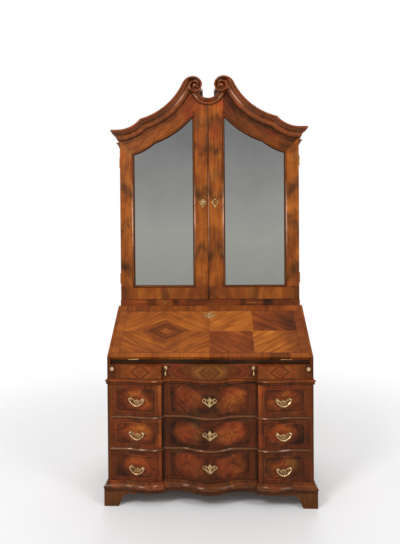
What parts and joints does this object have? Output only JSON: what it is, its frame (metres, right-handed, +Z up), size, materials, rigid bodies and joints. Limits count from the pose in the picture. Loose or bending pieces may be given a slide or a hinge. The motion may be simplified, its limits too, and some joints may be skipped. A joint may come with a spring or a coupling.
{
  "type": "bureau cabinet",
  "caption": "Tall walnut bureau cabinet with mirrored doors under a swan-neck cornice, a slant fall desk and a serpentine chest of drawers.",
  "frame": {"origin": "on the floor under the centre of the cabinet's bounding box", "axes": "+X to the right as seen from the front, +Y to the back, +Z up"},
  "size_m": [1.142, 0.622, 2.3578],
  "materials": {
    "walnut": "polished",
    "dark_walnut": "polished",
    "pine": "bare",
    "brass": "polished",
    "mirror": "silvered"
  },
  "bodies": {
    "carcase": {"base_moulding": "walnut", "waist_moulding": "walnut", "plinth_frame": "walnut", "bracket_feet": "walnut", "case_side_left": "walnut", "case_side_right": "walnut", "case_back": "pine", "case_floor": "pine", "drawer_rails": "dark_walnut", "loper_guides": "pine", "desk_bed": "walnut", "desk_top": "walnut", "letter_rack": "pine", "hinge_leaves": "brass", "cabinet_side_left": "walnut", "cabinet_side_right": "walnut", "cabinet_back": "pine", "cabinet_roof": "pine", "cabinet_shelves": "pine", "candle_strip": "walnut", "pediment_board": "walnut", "cornice_left": "walnut", "cornice_right": "walnut", "cornice_cup": "walnut"},
    "door_left": {"door_left_frame": "walnut", "door_left_mirror": "mirror", "door_left_brasses": "brass"},
    "door_right": {"door_right_frame": "walnut", "door_right_mirror": "mirror", "door_right_brasses": "brass"},
    "fall": {"fall_board": "walnut", "fall_brasses": "brass"},
    "drawer_bottom": {"drawer_bottom_front": "dark_walnut", "drawer_bottom_box": "pine", "drawer_bottom_plates": "brass"},
    "drawer_bottom_bail_left": {"drawer_bottom_bail_left": "brass"},
    "drawer_bottom_bail_right": {"drawer_bottom_bail_right": "brass"},
    "drawer_middle": {"drawer_middle_front": "dark_walnut", "drawer_middle_box": "pine", "drawer_middle_plates": "brass"},
    "drawer_middle_bail_left": {"drawer_middle_bail_left": "brass"},
    "drawer_middle_bail_right": {"drawer_middle_bail_right": "brass"},
    "drawer_top": {"drawer_top_front": "dark_walnut", "drawer_top_box": "pine", "drawer_top_plates": "brass"},
    "drawer_top_bail_left": {"drawer_top_bail_left": "brass"},
    "drawer_top_bail_right": {"drawer_top_bail_right": "brass"},
    "frieze_drawer": {"frieze_front": "dark_walnut", "frieze_box": "pine", "drop_rosettes": "brass"},
    "drop_left": {"drop_left": "brass"},
    "loper_left": {"loper_left": "dark_walnut", "loper_knob_left": "brass"},
    "candle_slide_left": {"candle_slide_left": "walnut"},
    "letter_drawer_left": {"letter_drawer_left": "pine"},
    "drop_right": {"drop_right": "brass"},
    "loper_right": {"loper_right": "dark_walnut", "loper_knob_right": "brass"},
    "candle_slide_right": {"candle_slide_right": "walnut"},
    "letter_drawer_right": {"letter_drawer_right": "pine"}
  },
  "joints": [
    {"name": "door_left_hinge", "type": "hinge", "parent": "carcase", "child": "door_left", "pos_m": [-0.5325, 0.03615, 1.5], "axis": [0, 0, -1], "range_deg": [0, 100]},
    {"name": "door_right_hinge", "type": "hinge", "parent": "carcase", "child": "door_right", "pos_m": [0.5325, 0.03615, 1.5], "axis": [0, 0, 1], "range_deg": [0, 100]},
    {"name": "fall_hinge", "type": "hinge", "parent": "carcase", "child": "fall", "pos_m": [0, -0.249, 0.766], "axis": [1, 0, 0], "range_deg": [0, 138]},
    {"name": "drawer_bottom_slide", "type": "slide", "parent": "carcase", "child": "drawer_bottom", "axis": [0, -1, 0], "range_m": [0, 0.4]},
    {"name": "drawer_bottom_bail_left_hinge", "type": "hinge", "parent": "drawer_bottom", "child": "drawer_bottom_bail_left", "pos_m": [-0.38296, -0.28801, 0.209], "axis": [-0.9773, 0.2117, 0], "range_deg": [0, 150]},
    {"name": "drawer_bottom_bail_right_hinge", "type": "hinge", "parent": "drawer_bottom", "child": "drawer_bottom_bail_right", "pos_m": [0.38296, -0.28801, 0.209], "axis": [-0.9773, -0.2117, 0], "range_deg": [0, 150]},
    {"name": "drawer_middle_slide", "type": "slide", "parent": "carcase", "child": "drawer_middle", "axis": [0, -1, 0], "range_m": [0, 0.4]},
    {"name": "drawer_middle_bail_left_hinge", "type": "hinge", "parent": "drawer_middle", "child": "drawer_middle_bail_left", "pos_m": [-0.38296, -0.28801, 0.391], "axis": [-0.9773, 0.2117, 0], "range_deg": [0, 150]},
    {"name": "drawer_middle_bail_right_hinge", "type": "hinge", "parent": "drawer_middle", "child": "drawer_middle_bail_right", "pos_m": [0.38296, -0.28801, 0.391], "axis": [-0.9773, -0.2117, 0], "range_deg": [0, 150]},
    {"name": "drawer_top_slide", "type": "slide", "parent": "carcase", "child": "drawer_top", "axis": [0, -1, 0], "range_m": [0, 0.4]},
    {"name": "drawer_top_bail_left_hinge", "type": "hinge", "parent": "drawer_top", "child": "drawer_top_bail_left", "pos_m": [-0.38296, -0.28801, 0.567], "axis": [-0.9773, 0.2117, 0], "range_deg": [0, 150]},
    {"name": "drawer_top_bail_right_hinge", "type": "hinge", "parent": "drawer_top", "child": "drawer_top_bail_right", "pos_m": [0.38296, -0.28801, 0.567], "axis": [-0.9773, -0.2117, 0], "range_deg": [0, 150]},
    {"name": "frieze_drawer_slide", "type": "slide", "parent": "carcase", "child": "frieze_drawer", "axis": [0, -1, 0], "range_m": [0, 0.2]},
    {"name": "drop_left_hinge", "type": "hinge", "parent": "frieze_drawer", "child": "drop_left", "pos_m": [-0.232, -0.258, 0.72], "axis": [-1, 0, 0], "range_deg": [0, 120]},
    {"name": "loper_left_slide", "type": "slide", "parent": "carcase", "child": "loper_left", "axis": [0, -1, 0], "range_m": [0, 0.3]},
    {"name": "candle_slide_left_slide", "type": "slide", "parent": "carcase", "child": "candle_slide_left", "axis": [0, -1, 0], "range_m": [0, 0.15]},
    {"name": "letter_drawer_left_slide", "type": "slide", "parent": "carcase", "child": "letter_drawer_left", "axis": [0, -1, 0], "range_m": [0, 0.18]},
    {"name": "drop_right_hinge", "type": "hinge", "parent": "frieze_drawer", "child": "drop_right", "pos_m": [0.232, -0.258, 0.72], "axis": [-1, 0, 0], "range_deg": [0, 120]},
    {"name": "loper_right_slide", "type": "slide", "parent": "carcase", "child": "loper_right", "axis": [0, -1, 0], "range_m": [0, 0.3]},
    {"name": "candle_slide_right_slide", "type": "slide", "parent": "carcase", "child": "candle_slide_right", "axis": [0, -1, 0], "range_m": [0, 0.15]},
    {"name": "letter_drawer_right_slide", "type": "slide", "parent": "carcase", "child": "letter_drawer_right", "axis": [0, -1, 0], "range_m": [0, 0.18]}
  ]
}
